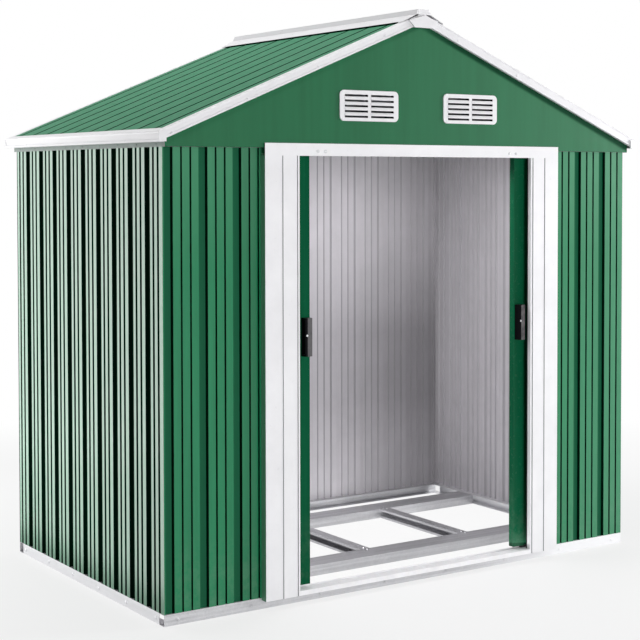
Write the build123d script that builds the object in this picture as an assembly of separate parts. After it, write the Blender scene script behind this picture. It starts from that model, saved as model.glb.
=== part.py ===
from build123d import *
import math
import os

# Metal storage shed with a pitched roof and two sliding doors, in millimetres.
# X runs along the front, Y runs from the front to the back, Z is up from the ground.
# The origin is on the ground below the middle of the shed.

# Walls and roof, overall
shed_width = 2010.0
shed_depth = 1227.0
wall_height = 1575.0
roof_pitch = 22.7
roof_rise_over_wall = 31.6
eave_overhang = 30.0
end_overhang = 36.5

# Steel thickness
sheet_gauge = 0.8
frame_gauge = 1.2

# Running and seating clearances
seat_gap = 0.3
slide_gap = 5.0

# Ribbed sheet: three flats with two grooves between them, then a wide trough
flat_width = 26.0
groove_width = 7.5
groove_floor = 2.5
groove_depth = 6.0
trough_width = 33.0
trough_web = 4.5
trough_depth = 10.0
corner_trough = 38.0

# Ribbed roof sheet: one narrow groove in each pitch
roof_rib_pitch = 127.0
roof_rib_count = 10
roof_groove_depth = 6.0

# Ground frame
rail_height = 38.0
rail_flange = 35.0
beam_width = 104.0
front_beam_back = -249.0
rear_beam_front = 290.0
joist_width = 45.0
joist_lip = 9.0
joist_pitch = 470.0
middle_joist_x = 24.0
joist_count = 3

# Rails along the tops of the walls
top_rail_drop = 28.0
top_rail_reach = 56.0
side_rail_drop = 29.0
side_rail_reach = 36.0
side_rail_leg = 26.0

# Gables and their ventilation grilles
gable_drop = 27.5
gable_proud = 23.5
gable_flange = 20.0
vent_width = 245.0
vent_height = 106.0
vent_corner = 17.0
vent_offset = 222.0
vent_rise_over_wall = 120.0
vent_plate = 5.0
vent_side_rim = 14.0
vent_top_rim = 5.5
vent_sleeve_depth = 12.0
vent_slot_inset = 20.0
vent_bar = 13.0
vent_rows = 5
vent_row_pitch = 18.2
vent_slot_height = 7.0
vent_slot_rise = 3.0
vent_hood_proud = 3.0
vent_hood_swell = 0.75
vent_hood_margin = 0.6
vent_hole_gap = 1.0

# Ridge beam and purlins
ridge_beam_half = 45.0
ridge_beam_leg = 30.0
purlin_offset = 520.0
purlin_width = 40.0
purlin_leg = 30.0

# Trims on the roof edges
trim_lip = 26.0
trim_face = 33.0
trim_roll = 4.0
trim_press = 1.5
trim_hem = 6.0
ridge_cap_half = 88.0
ridge_cap_flat = 24.0
ridge_cap_rise = 14.0
ridge_cap_shoulder = 33.0
ridge_cap_shoulder_drop = 5.0
ridge_cap_edge_gap = 4.0
ridge_cap_overhang = 6.0
end_plate_half = 64.0
end_plate_foot = 40.0
end_plate_height = 43.0
end_plate_rise = 25.0
end_plate_peak_drop = 8.0
end_plate_thickness = 9.0
corner_cap_thickness = 5.0
corner_cap_reach = 26.0

# Door frame
frame_outer_half = 642.0
jamb_width = 134.0
frame_proud = 30.0
frame_return = 22.5
frame_bottom = 30.0
header_drop = 54.0
header_height = 42.0
jamb_flange = 32.0
jamb_lip = 8.0
jamb_groove_width = 6.0
jamb_groove_depth = 3.0
jamb_first_groove = 64.0
jamb_second_groove = 122.0
wall_behind_jamb = 82.0

# Sill and the tracks of the doors
sill_top = 46.0
sill_well_front = 602.0
sill_well_back = 578.5
track_end_gap = 20.0
track_width = 30.0
track_height = 22.0
track_lip = 9.0

# Doors
door_overlap = 12.0
door_front = 597.0
door_thickness = 25.0
door_bottom = 52.0
door_top_drop = 37.0
door_back_lip = 12.0
door_trough_depth = 6.0
door_groove_depth = 4.0
door_module_count = 3
door_rail_height = 40.0
left_door_showing = 68.0
right_door_showing = 43.0
handle_width = 29.0
handle_depth = 27.0
handle_height = 131.0
handle_inset = 5.0
handle_centre_height = 904.5
handle_recess = 9.0
handle_rim = 6.0
runner_length = 60.0
runner_inset = 70.0
runner_neck = 3.0
runner_width = 22.0
runner_height = 10.0
glide_drop = 7.6
glide_width = 11.0

# How far a cut runs past the faces it opens
cut_over = 1.0

# Places worked out from the sizes above
half_width = shed_width / 2
half_depth = shed_depth / 2
slope = math.tan(math.radians(roof_pitch))
pitch_cosine = math.cos(math.radians(roof_pitch))
group_width = 3 * flat_width + 2 * groove_width
rib_pitch = group_width + trough_width
eave_face = half_width + eave_overhang
rake_face = half_depth + end_overhang
gable_face = half_depth + gable_proud
frame_face = half_depth + frame_proud
opening_half = frame_outer_half - jamb_width
door_width = opening_half + door_overlap
left_door_edge = left_door_showing - opening_half
right_door_edge = opening_half - right_door_showing
wall_inner_half = half_width - trough_depth - sheet_gauge
roof_peak = wall_height + roof_rise_over_wall + slope * half_width
gable_bottom = wall_height - gable_drop
vent_centre_height = wall_height + vent_rise_over_wall
header_bottom = wall_height - header_drop
door_top = wall_height - door_top_drop
track_half_length = half_width - track_end_gap
door_back = door_front - door_thickness
door_centre = (door_front + door_back) / 2


def roof_line(x, drop=0.0):
    """Height of the roof plane at x, lowered by drop measured square to the slope."""
    return roof_peak - slope * abs(x) - drop / pitch_cosine


def folded(path, gauge):
    """Closed outline of a strip folded along path: its thickness is added on the left, with mitred folds."""
    count = len(path)
    normals = []
    for (x0, y0), (x1, y1) in zip(path, path[1:]):
        length = math.hypot(x1 - x0, y1 - y0)
        normals.append(((y0 - y1) / length, (x1 - x0) / length))
    offset = []
    for i in range(count):
        before = normals[max(i - 1, 0)]
        after = normals[min(i, count - 2)]
        mitre = 1 + before[0] * after[0] + before[1] * after[1]
        offset.append((
            path[i][0] + gauge * (before[0] + after[0]) / mitre,
            path[i][1] + gauge * (before[1] + after[1]) / mitre,
        ))
    return path + offset[::-1]


def along_x(outline, x0, x1):
    """Solid of an outline in Y and Z, run from x0 to x1."""
    plane = Plane(origin=(x0, 0, 0), x_dir=(0, 1, 0), z_dir=(1, 0, 0))
    return extrude(plane * make_face(Polyline(*outline, close=True)), amount=x1 - x0)


def along_y(outline, y0, y1):
    """Solid of an outline in X and Z, run from y0 to y1."""
    plane = Plane(origin=(0, y1, 0), x_dir=(1, 0, 0), z_dir=(0, -1, 0))
    return extrude(plane * make_face(Polyline(*outline, close=True)), amount=y1 - y0)


def along_z(outline, z0, z1):
    """Solid of an outline in X and Y, run from z0 to z1."""
    plane = Plane(origin=(0, 0, z0), x_dir=(1, 0, 0), z_dir=(0, 0, 1))
    return extrude(plane * make_face(Polyline(*outline, close=True)), amount=z1 - z0)


def block(x0, x1, y0, y1, z0, z1):
    """Solid box between two opposite corners."""
    centre = Pos((x0 + x1) / 2, (y0 + y1) / 2, (z0 + z1) / 2)
    return centre * Box(abs(x1 - x0), abs(y1 - y0), abs(z1 - z0))


def across(part):
    """The same piece on the other side of the shed."""
    return mirror(part, about=Plane.YZ)


def behind(part):
    """The same piece at the back of the shed, as in a half turn about the upright axis."""
    return Rot(0, 0, 180) * part


def clipped(points, start, end):
    """The stretch of a profile between two places along it."""
    kept = []
    for (s0, d0), (s1, d1) in zip(points, points[1:]):
        if s1 <= start or s0 >= end:
            continue
        low = max(s0, start)
        high = min(s1, end)
        rise = (d1 - d0) / (s1 - s0)
        if not kept:
            kept.append((low, d0 + rise * (low - s0)))
        kept.append((high, d0 + rise * (high - s0)))
    return kept


def groove(start, width, depth, floor):
    """Fold points of one groove in a flat sheet, as places along it and depths."""
    web = (width - floor) / 2
    return [(start, 0.0), (start + web, depth), (start + width - web, depth), (start + width, 0.0)]


def rib_group(start, small_depth):
    """Fold points of three flats with two narrow grooves between them."""
    first = groove(start + flat_width, groove_width, small_depth, groove_floor)
    second = groove(start + 2 * flat_width + groove_width, groove_width, small_depth, groove_floor)
    return first + second


def ribbed_profile(start, end, first_group, large_depth, small_depth):
    """Fold points of a ribbed sheet from start to end, with a group of flats starting at first_group."""
    index = math.floor((start - first_group) / rib_pitch) - 1
    place = first_group + index * rib_pitch
    points = [(place, 0.0)]
    while place < end:
        points += rib_group(place, small_depth)
        points += groove(place + group_width, trough_width, large_depth, trough_width - 2 * trough_web)
        place += rib_pitch
    return clipped(points, start, end)


def wall_profile(start, end, first_group):
    return ribbed_profile(start, end, first_group, trough_depth, groove_depth)


# Ground frame of galvanised channels

def end_rail():
    """Channel along the front of the ground frame, open to the inside."""
    outer = -half_depth
    inner = rail_flange - half_depth
    path = [(inner, rail_height), (outer, rail_height), (outer, 0.0), (inner, 0.0)]
    return along_x(folded(path, frame_gauge), -half_width, half_width)


def side_rail():
    """Channel along the left side of the ground frame, between the front and back rails."""
    outer = -half_width
    inner = rail_flange - half_width
    reach = half_depth - rail_flange
    path = [(inner, rail_height), (outer, rail_height), (outer, 0.0), (inner, 0.0)]
    return along_y(folded(path, frame_gauge), -reach, reach)


def floor_beam(front):
    """Wide channel across the floor, its open side down."""
    back = front + beam_width
    reach = half_width - rail_flange
    path = [(back, 0.0), (back, rail_height), (front, rail_height), (front, 0.0)]
    return along_x(folded(path, frame_gauge), -reach, reach)


def floor_joist(x):
    """Lipped channel between the two beams, open to the left."""
    left = x - joist_width / 2
    right = x + joist_width / 2
    path = [
        (left, joist_lip), (left, 0.0), (right, 0.0),
        (right, rail_height), (left, rail_height), (left, rail_height - joist_lip),
    ]
    return along_y(folded(path, frame_gauge), front_beam_back, rear_beam_front)


# Walls

def front_wall(start, end, first_group):
    """Ribbed sheet in the front plane, standing on the rail and held by the top rail."""
    path = [(s, d - half_depth) for s, d in wall_profile(start, end, first_group)]
    return along_z(folded(path, sheet_gauge), rail_height, wall_height - frame_gauge)


def left_wall():
    """Ribbed sheet of the left side, from the front corner to the back corner."""
    points = wall_profile(-half_depth, half_depth, -half_depth)
    path = [(d - half_width, s) for s, d in points]
    top = roof_line(half_width, roof_groove_depth + sheet_gauge) - side_rail_leg / 2
    return along_z(folded(path, -sheet_gauge), rail_height, top)


def front_top_rail():
    """Channel over the front wall sheets, with the door track under it."""
    outer = -half_depth - sheet_gauge
    inner = outer + top_rail_reach
    top = wall_height
    path = [
        (inner, top - top_rail_drop), (inner, top),
        (outer, top), (outer, top - top_rail_drop),
    ]
    outline = folded(path, sheet_gauge)
    return along_x(outline, -wall_inner_half, wall_inner_half)


def side_top_rail():
    """Rail along the left eave: an outer leg over the wall sheet and a sloping seat for the roof."""
    outer = -half_width - sheet_gauge
    inner = outer + side_rail_reach
    seat_drop = roof_groove_depth + sheet_gauge
    path = [
        (inner, roof_line(inner, seat_drop) - side_rail_leg),
        (inner, roof_line(inner, seat_drop)),
        (outer, roof_line(outer, seat_drop)),
        (outer, wall_height - side_rail_drop),
    ]
    outline = folded(path, sheet_gauge)
    reach = half_depth + sheet_gauge - top_rail_reach
    channel = along_y(outline, -reach, reach)
    leg_reach = gable_face - sheet_gauge
    leg_top = roof_line(outer, seat_drop)
    leg = block(outer, outer + sheet_gauge, -leg_reach, leg_reach, wall_height - side_rail_drop, leg_top)
    return channel + leg


# Gables and ventilation grilles

def vent_hole():
    """Cut for one grille in the gable, at the middle of the gable's height."""
    width = vent_width - 2 * vent_side_rim
    height = vent_height - 2 * vent_top_rim
    depth = 4 * vent_sleeve_depth
    middle = Pos(0, -gable_face, vent_centre_height)
    return middle * Box(width, depth, height)


def front_gable():
    """Flat gable sheet with its folded foot, its flanges under the roof and two cuts for grilles."""
    outer = -gable_face
    half = half_width + sheet_gauge
    top = sheet_gauge
    outline = [
        (-half, gable_bottom), (half, gable_bottom),
        (half, roof_line(half, top)), (0.0, roof_line(0.0, top)), (-half, roof_line(half, top)),
    ]
    plate = along_y(outline, outer, outer + sheet_gauge)
    foot_back = -half_depth - sheet_gauge
    foot = block(-half_width, half_width, outer, foot_back, gable_bottom, gable_bottom + sheet_gauge)
    arch = [(half, roof_line(half, top)), (0.0, roof_line(0.0, top)), (-half, roof_line(half, top))]
    flange = along_y(folded(arch, sheet_gauge), outer, outer + gable_flange)
    holes = [Pos(side * vent_offset, 0, 0) * vent_hole() for side in (-1, 1)]
    return plate + foot + flange - holes


def vent_hood(x0, x1, low, high):
    """Rounded hood on the face of a grille, flush at its top and proud at its lower lip."""
    face = -gable_face - vent_plate
    plane = Plane(origin=(x0, 0, 0), x_dir=(0, 1, 0), z_dir=(1, 0, 0))
    lip = (face - vent_hood_proud, low)
    curve = ThreePointArc((face, high), (face - vent_hood_swell * vent_hood_proud, (low + high) / 2), lip)
    outline = curve + Polyline(lip, (face, low), (face, high))
    return extrude(plane * make_face(outline), amount=x1 - x0)


def vent_grille(x):
    """Louvred grille: a rounded plate with a sleeve in the gable's cut, slots and hoods between the slots."""
    face = Plane(origin=(x, -gable_face, vent_centre_height), x_dir=(1, 0, 0), z_dir=(0, -1, 0))
    plate = extrude(face * RectangleRounded(vent_width, vent_height, vent_corner), amount=vent_plate)
    sleeve_width = vent_width - 2 * (vent_side_rim + vent_hole_gap)
    sleeve_height = vent_height - 2 * (vent_top_rim + vent_hole_gap)
    grille = plate + extrude(face * Rectangle(sleeve_width, sleeve_height), amount=-vent_sleeve_depth)
    front = -gable_face - vent_plate - cut_over
    back = -gable_face + vent_sleeve_depth + cut_over
    lowest = vent_centre_height - ((vent_rows - 1) * vent_row_pitch + vent_slot_height + vent_slot_rise) / 2
    column_reach = vent_width / 2 - vent_slot_inset
    columns = [(x - column_reach, x - vent_bar / 2), (x + vent_bar / 2, x + column_reach)]
    for row in range(vent_rows):
        low = lowest + row * vent_row_pitch
        high = low + vent_slot_height
        slot = [(front, low), (front, high), (back, high + vent_slot_rise), (back, low + vent_slot_rise)]
        for start, end in columns:
            grille -= along_x(slot, start, end)
    for row in range(vent_rows - 1):
        low = lowest + row * vent_row_pitch + vent_slot_height + vent_hood_margin
        high = lowest + (row + 1) * vent_row_pitch - vent_hood_margin
        for start, end in columns:
            grille += vent_hood(start, end, low, high)
    return grille


# Roof

def left_roof_sheet():
    """Roof sheet of the left slope, its grooves running from the ridge to the eave."""
    reach = rake_face - trim_press - sheet_gauge - seat_gap
    first = -(roof_rib_count - 1) * roof_rib_pitch / 2 - groove_width / 2
    points = [(-reach, 0.0)]
    for index in range(roof_rib_count):
        points += groove(first + index * roof_rib_pitch, groove_width, roof_groove_depth, groove_floor)
    points.append((reach, 0.0))
    angle = math.radians(roof_pitch)
    down_slope = (-math.cos(angle), 0, -math.sin(angle))
    ridge_gap = (roof_groove_depth + sheet_gauge) * math.sin(angle) + seat_gap
    start = Vector(-ridge_gap, 0, roof_line(ridge_gap))
    plane = Plane(origin=start, x_dir=(0, 1, 0), z_dir=down_slope)
    outline = folded(points, sheet_gauge)
    length = (eave_face - trim_press - sheet_gauge - seat_gap - ridge_gap) / pitch_cosine
    return extrude(plane * make_face(Polyline(*outline, close=True)), amount=length)


def ridge_beam():
    """Hat-shaped beam under the ridge, from gable to gable."""
    drop = roof_groove_depth + sheet_gauge
    edge = roof_line(ridge_beam_half, drop)
    path = [
        (ridge_beam_half, edge - ridge_beam_leg), (ridge_beam_half, edge), (0.0, roof_line(0.0, drop)),
        (-ridge_beam_half, edge), (-ridge_beam_half, edge - ridge_beam_leg),
    ]
    reach = gable_face - sheet_gauge
    return along_y(folded(path, frame_gauge), -reach, reach)


def left_purlin():
    """Channel under the middle of the left slope, from gable to gable."""
    drop = roof_groove_depth + sheet_gauge
    low = -purlin_offset - purlin_width / 2
    high = -purlin_offset + purlin_width / 2
    angle = math.radians(roof_pitch)
    leg_x = purlin_leg * math.sin(angle)
    leg_z = purlin_leg * math.cos(angle)
    path = [
        (high + leg_x, roof_line(high, drop) - leg_z), (high, roof_line(high, drop)),
        (low, roof_line(low, drop)), (low + leg_x, roof_line(low, drop) - leg_z),
    ]
    reach = gable_face - sheet_gauge
    return along_y(folded(path, frame_gauge), -reach, reach)


def trim_folds(face, top, depth):
    """Fold points down the face of a trim: a roll at the top, a pressed middle and a hem, each as place and depth."""
    bottom = top + depth
    return [
        (face, top), (face, top + trim_roll), (face + trim_press, top + trim_roll + trim_press),
        (face + trim_press, bottom - trim_hem - trim_press), (face, bottom - trim_hem), (face, bottom),
    ]


def front_left_rake():
    """Trim along the sloping front edge of the left roof sheet: a lip on the roof and a face over its end."""
    angle = math.radians(roof_pitch)
    down_slope = (-math.cos(angle), 0, -math.sin(angle))
    plane = Plane(origin=(0, 0, roof_peak), x_dir=(0, 1, 0), z_dir=down_slope)
    face = -rake_face
    depth = trim_face * pitch_cosine
    path = [(face + trim_lip, -sheet_gauge)]
    path += trim_folds(face, -sheet_gauge, depth)
    path += [(-gable_face, depth - sheet_gauge)]
    outline = folded(path, -sheet_gauge)
    bar = extrude(plane * make_face(Polyline(*outline, close=True)), amount=shed_width, both=True)
    kept_start = -eave_face + trim_press + sheet_gauge
    return bar & block(kept_start, -seat_gap / 2, -2 * rake_face, 0, 0, 2 * roof_peak)


def left_eave():
    """Trim along the left eave: a lip on the roof, a face over its end and a return to the side rail."""
    inner = sheet_gauge - eave_face
    top = roof_line(eave_face) + sheet_gauge / pitch_cosine
    bottom = top - trim_face
    lip_end = trim_lip - eave_face
    wall_face = -half_width - sheet_gauge
    lip = [
        (inner, roof_line(inner)), (lip_end, roof_line(lip_end)),
        (lip_end, roof_line(lip_end, -sheet_gauge)), (inner, roof_line(inner, -sheet_gauge)),
    ]
    face_path = [(x, -z) for x, z in trim_folds(inner, -top, trim_face)]
    return_reach = rake_face - 2 * end_plate_thickness
    lip_reach = rake_face - trim_lip - seat_gap
    front = along_y(folded(face_path, -sheet_gauge), -rake_face, rake_face)
    foot = block(-eave_face, wall_face, -return_reach, return_reach, bottom, bottom + sheet_gauge)
    return front + foot + along_y(lip, -lip_reach, lip_reach)


def eave_corner_cap():
    """Cover over the front end of the left eave trim."""
    face = -rake_face
    top = roof_line(eave_face) + sheet_gauge / pitch_cosine
    return block(
        -eave_face, -eave_face + corner_cap_reach, face - corner_cap_thickness, face, top - trim_face, top
    )


def ridge_cap():
    """Cap over the ridge: a raised top with closed ends, and flanges on small feet over the end trims."""
    edge = roof_line(ridge_cap_half, -ridge_cap_edge_gap)
    top = roof_peak + ridge_cap_rise
    shoulder = roof_peak - ridge_cap_shoulder_drop
    raised = [
        (ridge_cap_shoulder, shoulder), (ridge_cap_flat, top),
        (-ridge_cap_flat, top), (-ridge_cap_shoulder, shoulder),
    ]
    path = [(ridge_cap_half, edge), *raised, (-ridge_cap_half, edge)]
    reach = rake_face + ridge_cap_overhang
    cap = along_y(folded(path, sheet_gauge), -reach, reach)
    closure = along_y(raised, -reach, sheet_gauge - reach)
    inner = sheet_gauge - ridge_cap_half
    foot = block(
        -ridge_cap_half, inner, -rake_face, trim_lip - rake_face, roof_line(inner, -sheet_gauge), edge
    )
    return cap + [closure, behind(closure), foot, across(foot), behind(foot), across(behind(foot))]


def ridge_end_plate():
    """Plain five-cornered plate over the joint of the two front trims, below the ridge cap."""
    peak = roof_peak - end_plate_peak_drop
    bottom = peak - end_plate_height
    corner = bottom + end_plate_rise
    outline = [
        (-end_plate_foot, bottom), (end_plate_foot, bottom), (end_plate_half, corner), (0.0, peak),
        (-end_plate_half, corner),
    ]
    return along_y(outline, -rake_face - end_plate_thickness, -rake_face)


# Door frame, sill and track

def left_jamb():
    """Folded upright of the door frame with two pressed grooves and a return into the opening."""
    face = -frame_face
    left = -frame_outer_half
    right = -opening_half
    path = [(left + jamb_flange, -half_depth), (left, -half_depth), (left, face)]
    for start in (jamb_first_groove, jamb_second_groove):
        folds = groove(left + start, jamb_groove_width, jamb_groove_depth, jamb_groove_width / 2)
        path += [(s, face + d) for s, d in folds]
    path += [(right, face), (right, face + frame_return), (right - jamb_lip, face + frame_return)]
    upright = along_z(folded(path, sheet_gauge), frame_bottom, header_bottom)
    notch_start = left + jamb_second_groove + jamb_groove_width
    notch_top = sill_top + seat_gap
    notch_back = -half_depth - sheet_gauge - seat_gap
    notch = block(notch_start, right + cut_over, face - cut_over, notch_back, 0, notch_top)
    return upright - notch


def door_header():
    """Folded head of the door frame, seated on the gable above and on the jambs below."""
    face = -frame_face
    back = face + frame_return
    path = [
        (-gable_face, header_bottom + header_height), (face, header_bottom + header_height), (face, header_bottom),
        (back, header_bottom), (back, header_bottom + jamb_lip),
    ]
    return along_x(folded(path, sheet_gauge), -frame_outer_half, frame_outer_half)


def door_sill():
    """Track well for the door glides with a hood over the front rail in the opening."""
    front = -sill_well_front
    back = -sill_well_back
    well_path = [
        (back, sill_top), (back, rail_height), (front, rail_height), (front, sill_top)
    ]
    well = along_x(folded(well_path, -sheet_gauge), -track_half_length, track_half_length)
    inner_face = -frame_face + sheet_gauge
    hood_path = [
        (front, sill_top - sheet_gauge), (inner_face, sill_top - sheet_gauge), (inner_face, frame_bottom)
    ]
    hood_start = -frame_outer_half + jamb_second_groove + jamb_groove_width + seat_gap
    hood = along_x(folded(hood_path, -sheet_gauge), hood_start, -hood_start)
    return well + hood


def door_track():
    """Lipped track for the door runners, fixed under the front top rail."""
    front = -door_centre - track_width / 2
    back = -door_centre + track_width / 2
    top = wall_height - sheet_gauge
    bottom = top - track_height
    path = [
        (back - track_lip, bottom), (back, bottom), (back, top),
        (front, top), (front, bottom), (front + track_lip, bottom),
    ]
    return along_x(folded(path, frame_gauge), -track_half_length, track_half_length)


# Doors, drawn with the closing edge at x = 0 and the leaf to the left of it

def door_leaf():
    """Ribbed door sheet with flat stiles folded back along both edges."""
    front = -door_front
    back = -door_back
    stile = (door_width - door_module_count * rib_pitch - trough_width) / 2
    left = -door_width
    ribs = ribbed_profile(
        left + stile - flat_width / 2, -stile + flat_width / 2, left + stile + trough_width,
        door_trough_depth, door_groove_depth,
    )
    path = [(left + door_back_lip, back), (left, back), (left, front)]
    path += [(s, front + d) for s, d in ribs[1:-1]]
    path += [(0.0, front), (0.0, back), (-door_back_lip, back)]
    return along_z(folded(path, sheet_gauge), door_bottom, door_top)


def door_rail(outer, inner):
    """Channel across the inside of the leaf, its web at outer and its legs towards inner."""
    front = -door_front + door_trough_depth + sheet_gauge
    back = -door_back - sheet_gauge
    path = [(back, inner), (back, outer), (front, outer), (front, inner)]
    side = sheet_gauge if outer > inner else -sheet_gauge
    return along_x(folded(path, side), -door_width + sheet_gauge, -sheet_gauge)


def door_handle():
    """Moulded pull with rounded edges and a finger recess on the side away from the closing edge."""
    left = -handle_inset - handle_width
    front = -door_front - handle_depth
    bottom = handle_centre_height - handle_height / 2
    body = block(left, left + handle_width, front, -door_front, bottom, bottom + handle_height)
    front_edges = body.edges().filter_by(Axis.Z).group_by(Axis.Y)[0]
    body = fillet(front_edges, radius=handle_rim / 2)
    recess = block(
        left, left + handle_recess, front + handle_rim, -door_front - handle_rim,
        bottom + handle_rim, bottom + handle_height - handle_rim,
    )
    return body - recess


def door_runners():
    """Two hangers with slides in the top track, and two glides in the sill."""
    slide_bottom = wall_height - sheet_gauge - track_height + frame_gauge + seat_gap
    pieces = []
    for middle in (-runner_inset, runner_inset - door_width):
        low = middle - runner_length / 2
        high = middle + runner_length / 2
        neck = block(
            low, high, -door_centre - runner_neck / 2, -door_centre + runner_neck / 2, door_top, slide_bottom
        )
        slide = block(
            low, high, -door_centre - runner_width / 2, -door_centre + runner_width / 2,
            slide_bottom, slide_bottom + runner_height,
        )
        glide_middle = -(sill_well_front + sill_well_back) / 2
        glide = block(
            low, high, glide_middle - glide_width / 2, glide_middle + glide_width / 2,
            door_bottom - glide_drop, door_bottom,
        )
        pieces += [neck + slide, glide]
    return pieces


def save(name, *solids):
    """Write one named piece; a piece of several solids keeps them apart."""
    parts = [solid for item in solids for solid in item.solids()]
    shape = parts[0] if len(parts) == 1 else Compound(children=parts)
    export_step(shape, f"parts/{name}.step")


def save_ground_frame():
    front = end_rail()
    save("base_rail_front", front)
    save("base_rail_back", behind(front))
    left = side_rail()
    save("base_rail_left", left)
    save("base_rail_right", across(left))
    save("floor_beam_front", floor_beam(front_beam_back - beam_width))
    save("floor_beam_rear", floor_beam(rear_beam_front))
    first = middle_joist_x - joist_pitch * (joist_count - 1) / 2
    save("floor_joists", *[floor_joist(first + index * joist_pitch) for index in range(joist_count)])


def save_walls():
    edge = half_width - sheet_gauge
    left_first = corner_trough - half_width
    right_first = half_width - group_width
    save("front_wall_left", front_wall(-edge, wall_behind_jamb - frame_outer_half, left_first))
    save("front_wall_right", front_wall(frame_outer_half - wall_behind_jamb, edge, right_first))
    back_first = group_width / -2
    save("back_wall_left", behind(front_wall(0.0, edge, back_first)))
    save("back_wall_right", behind(front_wall(-edge, 0.0, back_first)))
    left = left_wall()
    save("side_wall_left", left)
    save("side_wall_right", across(left))
    front_rail = front_top_rail()
    save("top_rail_front", front_rail)
    save("top_rail_back", behind(front_rail))
    side = side_top_rail()
    save("top_rail_left", side)
    save("top_rail_right", across(side))


def save_gables():
    front = front_gable()
    save("gable_front", front)
    save("gable_back", behind(front))
    left = vent_grille(-vent_offset)
    right = vent_grille(vent_offset)
    save("vent_front_left", left)
    save("vent_front_right", right)
    save("vent_back_left", behind(right))
    save("vent_back_right", behind(left))


def save_roof():
    sheet = left_roof_sheet()
    save("roof_sheet_left", sheet)
    save("roof_sheet_right", across(sheet))
    save("ridge_beam", ridge_beam())
    purlin = left_purlin()
    save("purlins", purlin, across(purlin))
    rake = front_left_rake()
    save("rake_trim_front_left", rake)
    save("rake_trim_front_right", across(rake))
    save("rake_trim_back_right", behind(rake))
    save("rake_trim_back_left", across(behind(rake)))
    eave = left_eave()
    save("eave_trim_left", eave)
    save("eave_trim_right", across(eave))
    cap = eave_corner_cap()
    save("eave_corner_caps", cap, across(cap), behind(cap), across(behind(cap)))
    save("ridge_cap", ridge_cap())
    plate = ridge_end_plate()
    save("ridge_end_plates", plate, behind(plate))


def save_door_frame():
    jamb = left_jamb()
    save("door_jamb_left", jamb)
    save("door_jamb_right", across(jamb))
    save("door_header", door_header())
    save("door_sill", door_sill())
    save("door_track", door_track())


def save_doors():
    pieces = {
        "leaf": [door_leaf()],
        "top_rail": [door_rail(door_top, door_top - door_rail_height)],
        "bottom_rail": [door_rail(door_bottom, door_bottom + door_rail_height)],
        "handle": [door_handle()],
        "runners": door_runners(),
    }
    for name, solids in pieces.items():
        save(f"left_door_{name}", *[Pos(left_door_edge, 0, 0) * solid for solid in solids])
        save(f"right_door_{name}", *[Pos(right_door_edge, 0, 0) * across(solid) for solid in solids])


os.makedirs("parts", exist_ok=True)
save_ground_frame()
save_walls()
save_gables()
save_roof()
save_door_frame()
save_doors()
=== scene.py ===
import math

import bpy
import numpy as np
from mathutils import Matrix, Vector


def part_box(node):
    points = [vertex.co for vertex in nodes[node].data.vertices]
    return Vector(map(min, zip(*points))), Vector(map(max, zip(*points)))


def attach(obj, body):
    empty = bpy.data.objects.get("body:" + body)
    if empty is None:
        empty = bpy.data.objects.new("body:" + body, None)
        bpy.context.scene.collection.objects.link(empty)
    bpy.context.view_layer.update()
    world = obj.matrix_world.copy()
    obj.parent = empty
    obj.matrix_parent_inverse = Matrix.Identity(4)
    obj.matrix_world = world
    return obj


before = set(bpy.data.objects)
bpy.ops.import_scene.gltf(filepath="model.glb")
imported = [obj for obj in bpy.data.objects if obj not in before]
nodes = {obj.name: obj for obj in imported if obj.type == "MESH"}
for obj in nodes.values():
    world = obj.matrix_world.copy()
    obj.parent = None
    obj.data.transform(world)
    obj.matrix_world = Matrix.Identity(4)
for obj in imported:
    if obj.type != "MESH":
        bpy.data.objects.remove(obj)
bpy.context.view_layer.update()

# Camera: where it stands, where it looks and how far the lens is shifted
camera_place = (-3.2242, -5.0305, 1.447)
camera_turn_degrees = 35.152
camera_tilt_degrees = -1.967
camera_lens = 86.2
camera_sensor = 36.0
camera_shift = (-0.11, -0.14)

# Colours, as red, green and blue in linear light. A pair holds the light and the dark tone of one coat.
wall_green = ((0.010, 0.215, 0.088), (0.008, 0.185, 0.075))
# Painted shade: the rails under the gables take the wall's dark tone
top_rail_shade_green = (wall_green[1], wall_green[1])
# Painted shade: a darker copy of the wall's paint for the gables
gable_shade_green = ((0.008, 0.130, 0.050), (0.006, 0.115, 0.043))
roof_green = ((0.027, 0.238, 0.112), (0.022, 0.207, 0.096))
# Painted shade: darker copies of the wall's paint for the door leaves, darkest on the left leaf
left_leaf_shade_green = ((0.004, 0.096, 0.040), (0.003, 0.078, 0.032))
right_leaf_shade_green = ((0.005, 0.112, 0.048), (0.004, 0.096, 0.040))
rail_grey_green = ((0.150, 0.200, 0.175), (0.120, 0.165, 0.142))
trim_white = ((0.82, 0.815, 0.835), (0.79, 0.785, 0.805))
frame_white = ((0.87, 0.865, 0.885), trim_white[0])
# Painted light: a lighter copy of the frame's white for the sill, over the shade in its well
sill_lit_white = ((0.93, 0.925, 0.94), frame_white[0])
zinc = ((0.68, 0.68, 0.70), (0.42, 0.42, 0.44))
# Painted sheen: paler zinc for the side rails and towards the right of the front rail
sheen_pale_zinc = ((0.86, 0.86, 0.88), (0.78, 0.78, 0.80))
screw_zinc = ((0.74, 0.74, 0.76), (0.50, 0.50, 0.52))
wall_primer = ((0.50, 0.48, 0.51), (0.46, 0.445, 0.47))
# Painted shade: near black primer inside the roof and gables, for the dark roof space
roof_primer_shade = ((0.050, 0.052, 0.052), (0.035, 0.036, 0.036))
runner_black = ((0.045, 0.043, 0.046), (0.020, 0.020, 0.022))
# Painted light: lit greys for the pulls' front faces, lighter on the right pull
left_pull_lit_grey = ((0.080, 0.076, 0.080), runner_black[0])
right_pull_lit_grey = ((0.170, 0.160, 0.165), runner_black[0])
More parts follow.
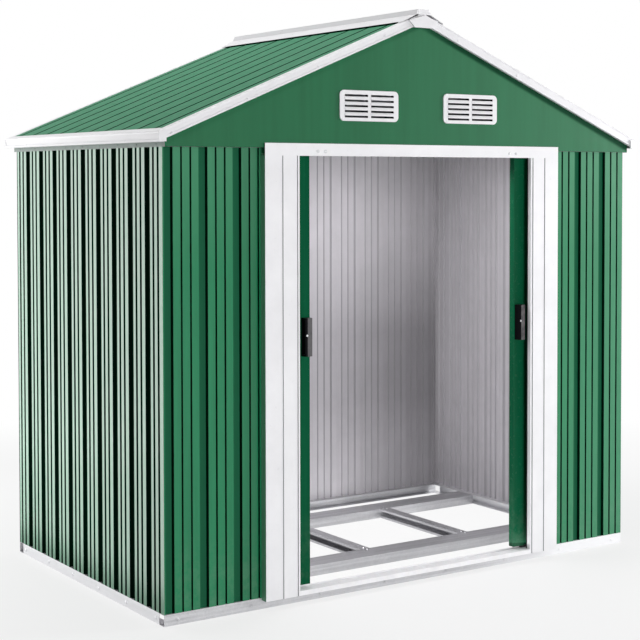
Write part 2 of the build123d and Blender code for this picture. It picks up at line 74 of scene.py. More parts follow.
# Painted shade and sheen: the fold, trough, primer fold, primer shade, groove and near black colours stand for
# shade, and sheen_green for light reflected on the sheets
fold_shade_green = (0.001, 0.012, 0.006)
trough_shade_green = (0.010, 0.122, 0.055)
sheen_green = (0.120, 0.330, 0.200)
primer_fold_shade = (0.38, 0.37, 0.39)
primer_shade = (0.085, 0.083, 0.088)
groove_shade_grey = (0.36, 0.36, 0.37)
shade_black = (0.004, 0.004, 0.005)
dust_on_green = (0.42, 0.43, 0.40)
dust_on_white = (0.50, 0.49, 0.46)
floor_colour = (0.72, 0.72, 0.73)

# Ribs of the wall and roof sheets, in metres
rib_pitch = 0.126
groove_middle = 0.0465  # middle of the two narrow grooves, from the start of their group
groove_half_spacing = 0.01675
trough_depth = 0.010
roof_rib_pitch = 0.127

# Where painted shade turns into the full coat, in metres: the reach from a groove's middle, from the start of a
# group (there the full coat comes first), from the edge of the ridge cap, and down from the roof beside a rake
# trim
groove_shoulder = (0.0066, 0.0080)
trough_shoulder = (0.0860, 0.0875)
roof_groove_shoulder = (0.0068, 0.0085)
cap_edge_line = (0.008, 0.012)
rake_shadow_line = (0.044, 0.056)

# How a coat changes over a piece: from one place to another along an axis, in metres, and the share at each.
# Dust is the thing's own; the sheen bands are painted light, and the shadow and shade bands are painted shade
dust_up = (0.04, 0.30, 0.55, 0.0)
wall_sheen_up = (1.15, 1.55, 0.0, 0.26)
wall_sheen_across = (0.45, 0.95, 0.0, 0.34)
gable_sheen_across = (-0.4, 0.9, 0.0, 0.24)
rake_shadow_across = (-0.15, 0.15, 0.12, 0.70)
primer_shade_foot = (0.10, 0.45, 0.25, 1.0)
primer_shade_top = (0.75, 1.20, 1.0, 0.0)
primer_shade_across = (0.35, 0.75, 0.30, 0.55)
rail_sheen_across = (0.25, 0.65)

# Shares and roughness of the coats
sheet_dust = 0.22
trim_dust = 0.35
outward_limit = 0.05  # a face that looks outward less than this has the inside coat
# Painted shade: share of the shine left on the floors of the troughs
trough_shine = 0.4
primer_roughness = 0.42
zinc_metallic = 0.72
wave_height = 0.0005  # of the long waves in the roof, trims and painted rails, in metres
wall_wave_height = 0.0008

# Door frame, leaves, pulls and vents, in metres
jamb_corner = 0.004  # plain white at both edges of a jamb's face, beside the grooves
jamb_wall_side = 0.030  # strip of a jamb, from its outer edge, that turns back to the wall behind the face
jamb_face_depth = 0.0012
reveal_shadow_reach = 0.002  # how far the painted shadow reaches from the inner edge of a jamb
reveal_shadow_setback = 0.016  # from the front of the jamb back to the painted shadow
leaf_edge_margin = 0.0004
pull_shade_width = 0.0097  # painted shade: near black strip along the left edge of a pull
vent_hood_proud = 0.003
vent_slot_inset = 0.0185  # from the side of a vent to its slots
vent_slot_shade = (0.0003, 0.0012)  # depth behind the hoods where the dark starts and is whole

# Screws, in metres
screw_head_radius = 0.0048
screw_head_height = 0.0022
screw_washer_radius = 0.0078
screw_washer_height = 0.0009
screw_recess_depth = 0.0010
screw_smooth_degrees = 35
header_screw_xs = (-0.435, -0.405, 0.405, 0.435)
header_screw_drop = 0.006
top_rail_screw_rise = 0.010
side_screw_margin = 0.06
base_screw_margin = 0.05
base_screw_share_of_height = 0.45
rake_screw_reach = (0.16, 0.985)
rake_screw_drop = 0.019
rake_press = 0.0015
pull_screw_inset = 0.0075
pull_screw_rise = 0.006
joist_bolt_inset = 0.022
beam_bolt_offsets = (0.014, 0.012)

# Lamps: place, target, size in metres and power in watts
lamps = {
    "key_lamp": ((6.0, -3.0, 1.6), (0.2, -0.6, 0.7), (2.0, 1.8), 285.0),
    "front_panel": ((-0.8, -7.2, 1.4), (0.0, -0.6, 0.8), (2.4, 2.0), 168.0),
    "side_lamp": ((-1.85, 1.75, 1.1), (-1.0, -0.1, 0.7), (1.9, 2.1), 29.0),
    "low_side_panel": ((-1.9, 1.1, 0.02), (-1.9, 1.1, 1.0), (1.5, 3.0), 25.0),
    "top_lamp": ((0.0, 0.4, 5.2), (0.0, 0.0, 1.6), (4.5, 3.5), 130.0),
    "inner_lamp": ((0.1, -0.25, 1.54), (0.2, 0.15, 0.0), (1.2, 0.4), 14.0),
    "ground_bounce": ((0.35, -0.05, 0.05), (0.45, 0.0, 1.0), (1.2, 0.9), 4.5),
}
unmirrored_lamp = "ground_bounce"
world_level = 0.16

# Studio floor, in metres: half its side, how far it lies below the shed, where its shadow fades out from the
# middle, and the half sizes of the ground that shows inside the shed; then how white each of the two is
floor_half = 60.0
floor_drop = 0.0005
shadow_fade = (1.6, 3.6)
inside_half = (0.97, 0.58)
shadow_whiteness = 0.74
inside_whiteness = 0.90


class Finish:
    """A material under construction: its nodes are added and joined by short calls."""

    def __init__(self, name):
        self.material = bpy.data.materials.new(name)
        self.material.use_nodes = True
        self.tree = self.material.node_tree
        self.shader = self.tree.nodes["Principled BSDF"]
        self.coordinates = self.add("ShaderNodeTexCoord")

    def add(self, kind, inputs=None, **settings):
        node = self.tree.nodes.new(kind)
        for key, value in settings.items():
            setattr(node, key, value)
        for key, value in (inputs or {}).items():
            self.feed(node, key, value)
        return node

    def feed(self, node, key, value):
        if isinstance(value, bpy.types.NodeSocket):
            self.tree.links.new(value, node.inputs[key])
        else:
            node.inputs[key].default_value = value

    def position(self, scale=(1.0, 1.0, 1.0)):
        """Object coordinates, stretched by scale."""
        inputs = {"Vector": self.coordinates.outputs["Object"], "Scale": scale}
        return self.add("ShaderNodeMapping", inputs).outputs["Vector"]

    def where(self, axis):
        """Place on the piece along one axis, in metres."""
        return self.add("ShaderNodeSeparateXYZ", {"Vector": self.coordinates.outputs["Object"]}).outputs[axis]

    def facing(self, direction):
        """How far a face looks along direction: its length where straight along it, and below zero for away."""
        inputs = {0: self.coordinates.outputs["Normal"], 1: direction}
        return self.add("ShaderNodeVectorMath", inputs, operation="DOT_PRODUCT").outputs["Value"]

    def noise(self, scale, detail, rough, vector=None):
        inputs = {"Scale": scale, "Detail": detail, "Roughness": rough, "Vector": vector or self.position()}
        return self.add("ShaderNodeTexNoise", inputs).outputs["Fac"]

    def mottle(self, scale, detail, rough, low=0.35, high=0.65, new_low=0.0, new_high=1.0, vector=None):
        """Noise spread from between low and high to between new_low and new_high."""
        return self.remap(self.noise(scale, detail, rough, vector), low, high, new_low, new_high)

    def cells(self, scale, vector):
        """Cell pattern: a grey level for each cell."""
        node = self.add("ShaderNodeTexVoronoi", {"Scale": scale, "Vector": vector})
        split = self.add("ShaderNodeSeparateColor", {"Color": node.outputs["Color"]})
        return split.outputs["Red"]

    def work_out(self, kind, a, b=0.0, clamp=False):
        """Result of a Math node on a and b."""
        node = self.add("ShaderNodeMath", {0: a, 1: b}, operation=kind, use_clamp=clamp)
        return node.outputs["Value"]

    def plus(self, a, b):
        return self.work_out("ADD", a, b)

    def less(self, a, b):
        return self.work_out("SUBTRACT", a, b)

    def times(self, a, b):
        return self.work_out("MULTIPLY", a, b)

    def least(self, a, b):
        return self.work_out("MINIMUM", a, b)

    def most(self, a, b):
        return self.work_out("MAXIMUM", a, b)

    def size_of(self, a):
        """The value without its sign."""
        return self.work_out("ABSOLUTE", a)

    def above(self, a, limit):
        """One where the value is above the limit, zero elsewhere."""
        return self.work_out("GREATER_THAN", a, limit)

    def below(self, a, limit):
        """One where the value is below the limit, zero elsewhere."""
        return self.work_out("LESS_THAN", a, limit)

    def remap(self, value, low, high, new_low=0.0, new_high=1.0):
        inputs = {"Value": value, "From Min": low, "From Max": high, "To Min": new_low, "To Max": new_high}
        return self.add("ShaderNodeMapRange", inputs).outputs["Result"]

    def blend(self, share, first, second):
        """Colour between first and second by share."""
        node = self.add("ShaderNodeMix", data_type="RGBA")
        self.feed(node, 0, share)
        for key, value in ((6, first), (7, second)):
            self.feed(node, key, (*value, 1.0) if isinstance(value, tuple) else value)
        return node.outputs[2]

    def tones(self, share, pair):
        """Colour between the dark and the light tone of a pair by share."""
        light, dark = pair
        return self.blend(share, dark, light)

    def bump(self, height, distance, strength=1.0, normal=None):
        inputs = {"Height": height, "Distance": distance, "Strength": strength}
        if normal is not None:
            inputs["Normal"] = normal
        return self.add("ShaderNodeBump", inputs).outputs["Normal"]

    def set(self, **values):
        """Shader sockets by name, with a space for each underscore."""
        for key, value in values.items():
            self.feed(self.shader, key.replace("_", " "), value)
        return self.material

    def set_index(self, full, share, low, high):
        """IOR between low and high by share. The socket's own value is full, for what drops the link."""
        self.set(IOR=full)
        self.set(IOR=self.remap(share, 0.0, 1.0, low, high))


# Rules: each builds a share from the nodes of a finish

def grime(finish, strength):
    """Dust: more near the ground, broken up by noise."""
    low_band = finish.remap(finish.where("Z"), *dust_up)
    patches = finish.mottle(16.0, 6.0, 0.65, 0.42, 0.70)
    return finish.times(finish.work_out("MULTIPLY", low_band, patches, clamp=True), strength)


def paint_relief(finish, wave_distance):
    """Bump of coated sheet: long waves of rolled steel under the fine texture of the coat."""
    waves = finish.noise(3.2, 2.0, 0.4, finish.position((1.0, 1.0, 0.45)))
    peel = finish.noise(420.0, 2.0, 0.5)
    return finish.bump(peel, 0.00008, 0.5, finish.bump(waves, wave_distance))


def trough_shade_share(name, axis, sign):
    """Painted shade: one on the outer flats of a sheet and zero on the floors of its troughs."""
    low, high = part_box(name)
    face = getattr(low if sign < 0 else high, axis)

    def rule(finish):
        inward = finish.size_of(finish.less(finish.where(axis.upper()), face))
        return finish.remap(inward, trough_depth * 0.3, trough_depth * 0.9, 1.0, 0.0)
    return rule


def groove_shade_share(finish):
    """Painted shade: zero on the shoulders beside a side wall's grooves and troughs, one on the rest of the flats.
    """
    along = finish.less(finish.where("Y"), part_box("side_wall_left")[0].y)
    place = finish.work_out("FLOORED_MODULO", along, rib_pitch)
    from_middle = finish.size_of(finish.less(place, groove_middle))
    from_groove = finish.size_of(finish.less(from_middle, groove_half_spacing))
    return finish.least(
        finish.remap(from_groove, *groove_shoulder),
        finish.remap(place, *trough_shoulder, 1.0, 0.0),
    )


def roof_line_share(finish):
    """Painted shade: zero in and beside the roof's grooves and along the ridge cap's edge, one on the flats."""
    along = finish.work_out("FLOORED_MODULO", finish.where("Y"), roof_rib_pitch)
    from_groove = finish.size_of(finish.less(along, roof_rib_pitch / 2))
    beyond_cap = finish.less(finish.size_of(finish.where("X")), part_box("ridge_cap")[1].x)
    return finish.least(
        finish.remap(from_groove, *roof_groove_shoulder),
        finish.remap(beyond_cap, *cap_edge_line),
    )


def wall_sheen_share(finish):
    """Painted sheen: paler under the eaves and towards the right of a front wall."""
    return finish.plus(
        finish.remap(finish.where("Z"), *wall_sheen_up),
        finish.remap(finish.where("X"), *wall_sheen_across),
    )


def gable_sheen_share(finish):
    """Painted sheen: paler towards the right of a gable."""
    return finish.remap(finish.where("X"), *gable_sheen_across)


def rake_shadow_share(finish):
    """Painted shadow: low in a dark line under the rake trims of a gable, one on the rest of it."""
    fall = finish.times(finish.size_of(finish.where("X")), roof_slope())
    below_roof = finish.less(roof_height(0.0), finish.plus(finish.where("Z"), fall))
    line = finish.remap(below_roof, *rake_shadow_line, 1.0, 0.0)
    strength = finish.remap(finish.where("X"), *rake_shadow_across)
    return finish.less(1.0, finish.times(line, strength))


def primer_shade_share(finish):
    """Painted shade: darker primer halfway up the back wall, most at its right end."""
    height = finish.where("Z")
    band = finish.least(finish.remap(height, *primer_shade_top), finish.remap(height, *primer_shade_foot))
    return finish.times(band, finish.remap(finish.where("X"), *primer_shade_across))


def rail_sheen_share(finish):
    """Painted sheen: brighter zinc towards the right of the front rail."""
    return finish.remap(finish.where("X"), *rail_sheen_across)


def looks(direction):
    """Outside rule: how far a face looks along the outward direction."""
    return lambda finish: finish.facing(direction)


def front_or_edge(leaf):
    """Outside rule for a door leaf: its front and the outer faces of its two folded edges."""
    low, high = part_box(leaf)

    def rule(finish):
        reach = finish.size_of(finish.less(finish.where("X"), (low.x + high.x) / 2))
        edge = finish.above(reach, (high.x - low.x) / 2 - leaf_edge_margin)
        return finish.most(finish.facing((0.0, -1.0, 0.0)), edge)
    return rule


# Finishes

def coated_sheet(name, coat, outside, gloss, index, wave=wall_wave_height, steep=(0.50, 0.85), depth=None,
                 shoulder=None, painted_sheen=None, primer=wall_primer, primer_in_fold_shade=primer_fold_shade, inner_shade=None):
    """Coloured outside and primer inside.

    The steep sides of the folds take painted shade: darker and less shiny than the flats. steep gives how far
    outward a face looks where that shade is whole and where it has ended. outside, depth, shoulder, painted_sheen
    and inner_shade are rules; depth, shoulder and inner_shade paint shade, and painted_sheen paints sheen.
    """
    finish = Finish(name)
    outward = outside(finish)
    side = finish.above(outward, outward_limit)
    flat = finish.remap(finish.size_of(outward), *steep)
    streaks = finish.mottle(26.0, 4.0, 0.6, vector=finish.position((1.0, 1.0, 0.05)))
    colour = finish.blend(grime(finish, sheet_dust), finish.tones(streaks, coat), dust_on_green)
    shine = flat
    # Painted sheen: paler green where the painted_sheen rule gives it
    if painted_sheen is not None:
        colour = finish.blend(painted_sheen(finish), colour, sheen_green)
    # Painted shade on the floors of the troughs: darker and less shiny
    if depth is not None:
        raised = depth(finish)
        colour = finish.blend(raised, trough_shade_green, colour)
        shine = finish.times(flat, finish.remap(raised, 0.0, 1.0, trough_shine, 1.0))
    # Painted shade along the lines the shoulder rule gives: beside the side walls' grooves, along the roof's
    # grooves and the ridge cap's edge, and under the rake trims
    if shoulder is not None:
        rolled = shoulder(finish)
        colour = finish.blend(rolled, fold_shade_green, colour)
        shine = finish.times(shine, rolled)
    # Painted shade on the steep sides of the folds
    colour = finish.blend(flat, fold_shade_green, colour)
    # Inside: primer, with painted shade on the steep sides of its folds
    inner = finish.blend(flat, primer_in_fold_shade, finish.tones(finish.mottle(9.0, 5.0, 0.6), primer))
    # Painted shade on the primer where the inner_shade rule gives it
    if inner_shade is not None:
        inner = finish.blend(inner_shade(finish), inner, primer_shade)
    rough = finish.mottle(60.0, 5.0, 0.7, 0.3, 0.7, gloss, gloss + 0.10)
    finish.set_index(index, shine, 1.0, index)
    return finish.set(
        Base_Color=finish.blend(side, inner, colour),
        Roughness=finish.blend(side, (primer_roughness,) * 3, rough),
        Normal=paint_relief(finish, wave),
    )


def white_surface(finish):
    """Gloss and relief of white paint, and its mottle as the result."""
    rough = finish.mottle(55.0, 5.0, 0.7, 0.3, 0.7, 0.26, 0.40)
    finish.set(Roughness=rough, Normal=paint_relief(finish, wave_height))
    return finish.mottle(7.0, 5.0, 0.6)


def white_paint(name, pair):
    """White paint with dust near the ground."""
    finish = Finish(name)
    colour = finish.tones(white_surface(finish), pair)
    return finish.set(Base_Color=finish.blend(grime(finish, trim_dust), colour, dust_on_white))


def frame_paint(name):
    """White paint of the door frame: painted shade in grey in the pressed grooves, and on what turns back to the
    wall a pale green of painted light.

    The inner return of each jamb holds a painted shadow in black along its back half.
    """
    finish = Finish(name)
    low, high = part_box("door_jamb_left")
    outer, inner = -low.x, -high.x
    reach = finish.size_of(finish.where("X"))
    back = finish.where("Y")
    colour = finish.tones(white_surface(finish), frame_white)
    between = finish.times(finish.above(reach, inner + jamb_corner), finish.below(reach, outer - jamb_corner))
    sideways = finish.remap(finish.size_of(finish.facing((1.0, 0.0, 0.0))), 0.3, 0.7)
    # Painted shade in grey in the jambs' grooves
    colour = finish.blend(finish.times(between, sideways), colour, groove_shade_grey)
    # Painted light: a pale green on what turns back to the wall
    behind = finish.times(finish.above(reach, outer - jamb_wall_side), finish.above(back, low.y + jamb_face_depth))
    colour = finish.blend(behind, colour, sheen_green)
    # Painted shadow: near black along the back half of each jamb's inner return
    reveal_shadow = finish.times(finish.below(reach, inner + reveal_shadow_reach), finish.above(back, low.y + reveal_shadow_setback))
    return finish.set(Base_Color=finish.blend(reveal_shadow, colour, shade_black))


def galvanised(name, run="X", pair=zinc, rail_sheen=None):
    """Zinc coat with its spangle: crystal cells that differ in tone and gloss, and rolled lines along the run."""
    finish = Finish(name)
    warp = finish.noise(30.0, 2.0, 0.5)
    place = finish.add("ShaderNodeVectorMath", {0: finish.position(), 1: warp}, operation="ADD").outputs["Vector"]
    crystals = finish.plus(
        finish.times(finish.cells(95.0, place), 0.6),
        finish.times(finish.cells(240.0, place), 0.4),
    )
    stretch = (0.02, 1.0, 1.0) if run == "X" else (1.0, 0.02, 1.0)
    rolled = finish.mottle(90.0, 4.0, 0.6, vector=finish.position(stretch))
    cloud = finish.noise(5.0, 4.0, 0.6)
    tone = finish.plus(finish.times(crystals, 0.40), finish.times(cloud, 0.25))
    tone = finish.plus(tone, finish.times(rolled, 0.35))
    colour = finish.tones(finish.remap(tone, 0.15, 0.8), pair)
    # Painted sheen: paler zinc where the rail_sheen rule gives it
    if rail_sheen is not None:
        colour = finish.blend(rail_sheen(finish), colour, sheen_pale_zinc[0])
    rough = finish.remap(crystals, 0.1, 0.9, 0.30, 0.46)
    relief = finish.bump(crystals, 0.00005, 0.4, finish.bump(finish.noise(6.0, 2.0, 0.5), 0.0006))
    return finish.set(Base_Color=colour, Roughness=rough, Metallic=zinc_metallic, Normal=relief)


def satin_rail(name):
    """Satin grey-green paint of the rails under the eaves."""
    finish = Finish(name)
    colour = finish.tones(finish.mottle(12.0, 5.0, 0.6), rail_grey_green)
    rough = finish.mottle(70.0, 4.0, 0.6, 0.3, 0.7, 0.28, 0.42)
    return finish.set(Base_Color=colour, Roughness=rough, IOR=1.25, Normal=paint_relief(finish, wave_height))


def moulded_surface(finish, smooth, rough):
    """Gloss and fine spark-eroded grain of moulded plastic, and its mottle as the result."""
    grain = finish.bump(finish.noise(1500.0, 2.0, 0.6), 0.00006, 0.5)
    finish.set(Roughness=finish.mottle(90.0, 4.0, 0.6, 0.3, 0.7, smooth, rough), Normal=grain)
    return finish.mottle(40.0, 4.0, 0.6, 0.3, 0.7)


def runner_plastic(name):
    """Black moulded plastic of the door runners."""
    finish = Finish(name)
    return finish.set(Base_Color=finish.tones(moulded_surface(finish, 0.36, 0.50), runner_black))


def vent_plastic(name):
    """White moulded plastic, with painted shade in near black inside the slots."""
    finish = Finish(name)
    low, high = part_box("vent_front_right")
    centre = (low.x + high.x) / 2
    off_centre = finish.size_of(finish.less(finish.size_of(finish.where("X")), centre))
    in_columns = finish.below(off_centre, high.x - centre - vent_slot_inset)
    depth = finish.less(-low.y - vent_hood_proud, finish.size_of(finish.where("Y")))
    # Painted shade: near black inside the slots behind the hoods
    inside = finish.times(in_columns, finish.remap(depth, *vent_slot_shade))
    colour = finish.tones(moulded_surface(finish, 0.28, 0.42), trim_white)
    finish.set_index(1.5, inside, 1.5, 1.1)
    return finish.set(Base_Color=finish.blend(inside, colour, shade_black))


def pull_plastic(name, handle, pair):
    """Moulded plastic of a pull, with painted light and shade: lit grey on the front face, and near black painted
    shade on its sides and along its left edge.
    """
    finish = Finish(name)
    # Painted shade: near black on the sides and along the left edge; lit grey on the rest of the front face
    lit_part = finish.above(finish.where("X"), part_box(handle)[0].x + pull_shade_width)
    front = finish.times(finish.remap(finish.facing((0.0, -1.0, 0.0)), 0.5, 0.95), lit_part)
    lit_grey = finish.tones(moulded_surface(finish, 0.36, 0.50), pair)
    finish.set_index(1.5, front, 1.1, 1.5)
    return finish.set(Base_Color=finish.blend(front, shade_black, lit_grey))


def plated_steel(name):
    """Bright zinc-plated screw steel with turned scratches."""
    finish = Finish(name)
    scratches = finish.noise(300.0, 4.0, 0.7)
    rough = finish.remap(scratches, 0.3, 0.7, 0.22, 0.38)
    relief = finish.bump(scratches, 0.00003, 0.5)
    return finish.set(Base_Color=finish.tones(scratches, screw_zinc), Roughness=rough, Metallic=1.0, Normal=relief)


def sheet_finishes():
    """Finishes of the ribbed and flat sheets, by the start of the node names."""
    finishes = {}
    for name, sign in (("front_wall", -1), ("back_wall", 1)):
        finishes[name] = coated_sheet(
            name, wall_green, looks((0.0, sign, 0.0)), 0.14, 1.45, depth=trough_shade_share(f"{name}_left", "y", sign),
            painted_sheen=wall_sheen_share if sign < 0 else None, inner_shade=primer_shade_share if sign > 0 else None,
        )
    for name, sign in (("side_wall_left", -1), ("side_wall_right", 1)):
        finishes[name] = coated_sheet(
            name, wall_green, looks((sign, 0.0, 0.0)), 0.30, 1.9, depth=trough_shade_share(name, "x", sign),
            shoulder=groove_shade_share,
        )
    # Painted shade: the roof space's primer is near black
    shaded_roof_inside = {"primer": roof_primer_shade, "primer_in_fold_shade": roof_primer_shade[1]}
    # Painted shade: the gables' darker green, with painted sheen towards the right and a painted shadow under the
    # rake trims
    for name, sign in (("gable_front", -1.0), ("gable_back", 1.0)):
        finishes[name] = coated_sheet(
            name, gable_shade_green, looks((0.0, sign, -0.5)), 0.14, 1.40, shoulder=rake_shadow_share,
            painted_sheen=gable_sheen_share, **shaded_roof_inside,
        )
    finishes["roof_sheet"] = coated_sheet(
        "roof_sheet", roof_green, looks((0.0, 0.0, 1.0)), 0.30, 1.06, wave_height, (0.76, 0.90),
        shoulder=roof_line_share, **shaded_roof_inside,
    )
    # Painted shade: the leaves take darker copies of the wall's paint
    for leaf, green, index in (
        ("left_door_leaf", left_leaf_shade_green, 1.1),
        ("right_door_leaf", right_leaf_shade_green, 1.2),
    ):
        finishes[leaf] = coated_sheet(leaf, green, front_or_edge(leaf), 0.20, index)
    # Painted shade: the rails under the gables take the wall's dark tone
    for name in ("top_rail_front", "top_rail_back"):
        finishes[name] = coated_sheet(name, top_rail_shade_green, looks((0.0, 0.0, -1.0)), 0.4, 1.1)
    return finishes


def trim_finishes():
    """Finishes of the trims, door frame, vents, rails and plastic pieces, by the start of the node names."""
    trim = white_paint("white_trim", trim_white)
    finishes = {start: trim for start in ("rake", "eave", "ridge_cap", "ridge_end")}
    # Painted light: the sill takes the lighter white
    finishes["door_sill"] = white_paint("sill_lit_white", sill_lit_white)
    finishes["door_jamb"] = finishes["door_header"] = frame_paint("door_frame")
    finishes["vent"] = vent_plastic("white_vent")
    finishes["top_rail_left"] = finishes["top_rail_right"] = satin_rail("grey_green_rail")
    finishes["base_rail_front"] = galvanised("front_rail_zinc", rail_sheen=rail_sheen_share)
    # Painted sheen: the side rails take the paler zinc all over
    side_rail = galvanised("side_rail_zinc", "Y", sheen_pale_zinc)
    finishes["base_rail_left"] = finishes["base_rail_right"] = side_rail
    for start in ("floor_joists", "ridge_beam", "purlins"):
        finishes[start] = galvanised(f"{start}_zinc", "Y")
    runners = runner_plastic("black_plastic")
    for door, pair in (("left_door", left_pull_lit_grey), ("right_door", right_pull_lit_grey)):
        finishes[f"{door}_handle"] = pull_plastic(f"{door}_pull_plastic", f"{door}_handle", pair)
        finishes[f"{door}_runners"] = runners
    return finishes


def coat_nodes(finishes, bare_steel):
    """Gives each CAD node the finish with the longest start of its name, or bare steel."""
    for name, node in nodes.items():
        matches = [start for start in finishes if name.startswith(start)]
        node.data.materials.clear()
        node.data.materials.append(finishes[max(matches, key=len)] if matches else bare_steel)


# Screws and bolts

def piece(name, points, faces, material, body, smooth_degrees):
    """New mesh object that rides on a body and takes the finish it is given."""
    mesh = bpy.data.meshes.new(name)
    mesh.from_pydata(points.tolist(), [], faces)
    mesh.update()
    mesh.materials.append(material)
    thing = bpy.data.objects.new(name, mesh)
    bpy.context.scene.collection.objects.link(thing)
    mesh.shade_smooth()
    mesh.set_sharp_from_angle(angle=math.radians(smooth_degrees))
    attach(thing, body)


def ring_faces(rows, columns):
    """Quads between neighbouring points of a grid, closed round each row."""
    row = np.arange(rows - 1)[:, None]
    column = np.arange(columns)[None, :]
    after = (column + 1) % columns
    this, above = row * columns, (row + 1) * columns
    return np.stack([this + column, this + after, above + after, above + column], axis=-1).reshape(-1, 4)


def screw_shape(scale, segments=12):
    """One screw with its washer, standing on z = 0.

    A profile of radius and height is turned about Z: x = r cos t, y = r sin t. It runs from the washer's edge
    up over the domed head and down into the driver recess, and a centre point closes the recess.
    """
    top = screw_washer_height + screw_head_height
    profile = np.array([
        (screw_washer_radius, 0.0),
        (screw_washer_radius, screw_washer_height),
        (screw_head_radius, screw_washer_height),
        (screw_head_radius * 0.96, screw_washer_height + screw_head_height * 0.55),
        (screw_head_radius * 0.70, top),
        (screw_head_radius * 0.34, top),
        (screw_head_radius * 0.20, top - screw_recess_depth),
    ]) * scale
    turn = np.arange(segments) * 2 * math.pi / segments
    ring = np.stack([np.cos(turn), np.sin(turn)], axis=-1)
    points = np.concatenate([
        np.concatenate([ring * radius, np.full((segments, 1), height)], axis=1) for radius, height in profile
    ])
    centre = np.array([[0.0, 0.0, profile[-1, 1]]])
    faces = ring_faces(len(profile), segments).tolist()
    last = (len(profile) - 1) * segments
    faces += [[last + i, last + (i + 1) % segments, len(points)] for i in range(segments)]
    return np.concatenate([points, centre]), faces


def basis(outward):
    """Two directions square to outward, as the rows of a turn matrix with outward last."""
    outward = np.asarray(outward, float)
    outward = outward / np.linalg.norm(outward)
    helper = np.array([0.0, 0.0, 1.0]) if abs(outward[2]) < 0.9 else np.array([0.0, 1.0, 0.0])
    first = np.cross(helper, outward)
    first = first / np.linalg.norm(first)
    return np.stack([first, np.cross(outward, first), outward])


def screws(name, places, outward, material, body="shed", scale=1.0):
    """Screws at places, all facing outward, in one mesh: each point is its place plus the turned screw's point."""
    shape, faces = screw_shape(scale)
    turned = shape @ basis(outward)
    places = np.asarray(places, float)
    points = (places[:, None, :] + turned[None, :, :]).reshape(-1, 3)
    all_faces = [[v + i * len(shape) for v in face] for i in range(len(places)) for face in faces]
    piece(name, points, all_faces, material, body, screw_smooth_degrees)


def spaced(start, end, count):
    """Places in a row between two points, both ends included."""
    share = np.linspace(0.0, 1.0, count)[:, None]
    return np.asarray(start, float) * (1 - share) + np.asarray(end, float) * share


def roof_slope():
    """Rise of the roof per metre across, from the corners of the left sheet."""
    low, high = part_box("roof_sheet_left")
    return (high.z - low.z) / (high.x - low.x)


def roof_height(x):
    """Height of the roof's upper face at x."""
    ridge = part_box("roof_sheet_left")[1]
    return ridge.z - roof_slope() * (abs(x) + ridge.x)


def add_frame_screws(plated):
    """Screws through the door frame's head, beside its corners."""
    low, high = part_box("door_header")
    row = (low.z + high.z) / 2 - header_screw_drop
    screws("header_screws", [(x, low.y, row) for x in header_screw_xs], (0, -1, 0), plated, scale=0.8)


def add_top_rail_screws():
    """Small painted screws along the rails under the eaves."""
    for side, name in ((-1, "left"), (1, "right")):
        low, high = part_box(f"top_rail_{name}")
        face = low.x if side < 0 else high.x
        row = low.z + top_rail_screw_rise
        rows = spaced((face, low.y + side_screw_margin, row), (face, high.y - side_screw_margin, row), 9)
        paint = nodes[f"top_rail_{name}"].data.materials[0]
        screws(f"top_rail_screws_{name}", rows, (side, 0, 0), paint, scale=0.45)


def add_base_screws():
    """Zinc-coated screws round the ground frame, with the coat of the rail they hold."""
    low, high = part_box("base_rail_front")
    middle = high.z * base_screw_share_of_height
    reach = high.x - base_screw_margin
    front_zinc = nodes["base_rail_front"].data.materials[0]
    for side, name in ((-1, "front"), (1, "back")):
        face = side * abs(low.y)
        rows = spaced((-reach, face, middle), (reach, face, middle), 8)
        screws(f"base_screws_{name}", rows, (0, side, 0), front_zinc)
    side_reach = abs(low.y) - side_screw_margin
    side_zinc = nodes["base_rail_left"].data.materials[0]
    for side, name in ((-1, "left"), (1, "right")):
        face = side * high.x
        rows = spaced((face, -side_reach, middle), (face, side_reach, middle), 6)
        screws(f"base_screws_{name}", rows, (side, 0, 0), side_zinc)


def add_rake_screws():
    """White painted screws through the rake trims, in a row that follows the roof."""
    face = abs(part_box("rake_trim_front_left")[0].y) - rake_press
    paint = nodes["rake_trim_front_left"].data.materials[0]
    for front, end in ((-1, "front"), (1, "back")):
        for side, name in ((-1, "left"), (1, "right")):
            xs = side * np.linspace(*rake_screw_reach, 4)
            places = [(x, front * face, roof_height(x) - rake_screw_drop) for x in xs]
            screws(f"rake_screws_{end}_{name}", places, (0, front, 0), paint, scale=0.8)


def add_pull_screws(plated):
    """One screw on the front face of each pull, beside its left edge and a little above the middle."""
    for door in ("left_door", "right_door"):
        low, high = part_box(f"{door}_handle")
        place = (low.x + pull_screw_inset, low.y, (low.z + high.z) / 2 + pull_screw_rise)
        screws(f"{door}_handle_screw", [place], (0, -1, 0), plated, body=door, scale=0.5)


def add_floor_bolts(plated):
    """Bolts through the top of the floor frame where each joist meets a beam."""
    low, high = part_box("floor_joists")
    on_beam, on_joist = beam_bolt_offsets
    middles = (low.x + joist_bolt_inset, (low.x + high.x) / 2, high.x - joist_bolt_inset)
    ends = (low.y - on_beam, low.y + on_joist, high.y - on_joist, high.y + on_beam)
    screws("floor_bolts", [(x, y, high.z) for x in middles for y in ends], (0, 0, 1), plated)


# Lights and surroundings

def area_lamp(name, place, target, size, power):
    """Rectangular lamp at place, turned to target and unseen by the camera."""
    lamp = bpy.data.lights.new(name, "AREA")
    lamp.shape = "RECTANGLE"
    lamp.size, lamp.size_y = size
    lamp.energy = power
    thing = bpy.data.objects.new(name, lamp)
    bpy.context.scene.collection.objects.link(thing)
    thing.location = place
    thing.rotation_euler = (Vector(target) - Vector(place)).to_track_quat("-Z", "Y").to_euler()
    thing.visible_camera = False
    return thing


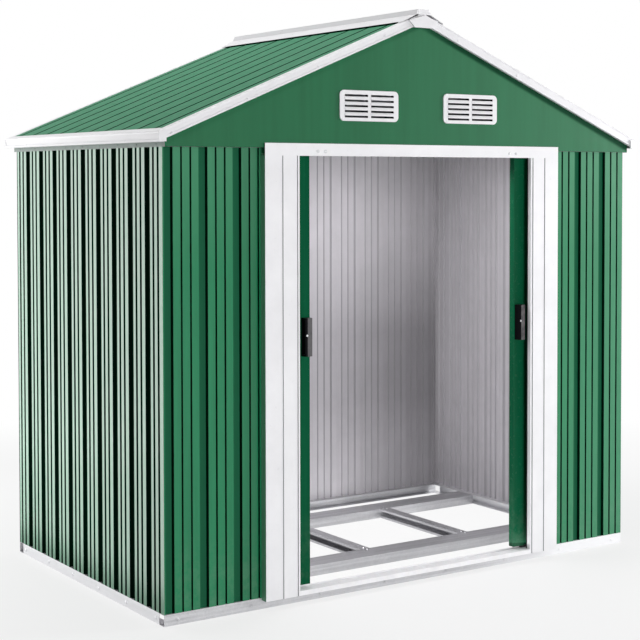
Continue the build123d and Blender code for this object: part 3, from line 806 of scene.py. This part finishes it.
def shown_ray(tree):
    """Socket that is one for rays that show the background: camera, glossy and transmission rays."""
    path = tree.nodes.new("ShaderNodeLightPath")
    total = path.outputs["Is Camera Ray"]
    for kind in ("Is Glossy Ray", "Is Transmission Ray"):
        either = tree.nodes.new("ShaderNodeMath")
        either.operation = "MAXIMUM"
        tree.links.new(total, either.inputs[0])
        tree.links.new(path.outputs[kind], either.inputs[1])
        total = either.outputs["Value"]
    return total


def light_the_studio():
    """Soft lamps round the shed, and a plain white background."""
    for name, (place, target, size, power) in lamps.items():
        lamp = area_lamp(name, place, target, size, power)
        lamp.visible_glossy = name != unmirrored_lamp
    world = bpy.data.worlds.new("studio")
    bpy.context.scene.world = world
    world.use_nodes = True
    tree = world.node_tree
    backdrop = tree.nodes["Background"]
    backdrop.inputs["Color"].default_value = (1.0, 1.0, 1.0, 1.0)
    level = tree.nodes.new("ShaderNodeMapRange")
    level.inputs["To Min"].default_value = world_level
    level.inputs["To Max"].default_value = 1.0
    tree.links.new(shown_ray(tree), level.inputs["Value"])
    tree.links.new(level.outputs["Result"], backdrop.inputs["Strength"])


def lay_floor():
    """Pale floor that shows the shed's shadow and turns into plain white away from it."""
    corners = ((-1, -1), (1, -1), (1, 1), (-1, 1))
    mesh = bpy.data.meshes.new("studio_floor")
    mesh.from_pydata([(x * floor_half, y * floor_half, -floor_drop) for x, y in corners], [], [(0, 1, 2, 3)])
    finish = Finish("pale_floor")
    finish.set(Base_Color=(*floor_colour, 1.0), Roughness=finish.mottle(12.0, 5.0, 0.6, 0.3, 0.7, 0.55, 0.65))
    reach = finish.add("ShaderNodeVectorMath", {0: finish.position((1.0, 1.0, 0.0))}, operation="LENGTH")
    far = finish.remap(reach.outputs["Value"], *shadow_fade, shadow_whiteness, 1.0)
    within = finish.times(*[
        finish.below(finish.size_of(finish.where(axis)), half) for axis, half in zip("XY", inside_half)
    ])
    pale = finish.most(far, finish.times(within, inside_whiteness))
    share = finish.times(pale, shown_ray(finish.tree))
    glow = finish.add("ShaderNodeEmission", {"Color": (1.0, 1.0, 1.0, 1.0), "Strength": 1.0})
    mixed = finish.add("ShaderNodeMixShader", {0: share, 1: finish.shader.outputs[0], 2: glow.outputs[0]})
    finish.tree.links.new(mixed.outputs[0], finish.tree.nodes["Material Output"].inputs["Surface"])
    mesh.materials.append(finish.material)
    floor = bpy.data.objects.new("studio_floor", mesh)
    bpy.context.scene.collection.objects.link(floor)


def set_camera():
    """Camera at the photograph's viewing angle."""
    data = bpy.data.cameras.new("camera")
    data.lens = camera_lens
    data.sensor_width = camera_sensor
    data.shift_x, data.shift_y = camera_shift
    camera = bpy.data.objects.new("camera", data)
    bpy.context.scene.collection.objects.link(camera)
    camera.location = camera_place
    camera.rotation_euler = (math.radians(90 + camera_tilt_degrees), 0.0, -math.radians(camera_turn_degrees))
    bpy.context.scene.camera = camera


coat_nodes({**sheet_finishes(), **trim_finishes()}, galvanised("galvanised_steel"))
plated = plated_steel("plated_screws")
add_frame_screws(plated)
add_top_rail_screws()
add_base_screws()
add_rake_screws()
add_pull_screws(plated)
add_floor_bolts(plated)
light_the_studio()
lay_floor()
set_camera()
bpy.context.scene.view_settings.view_transform = "Standard"
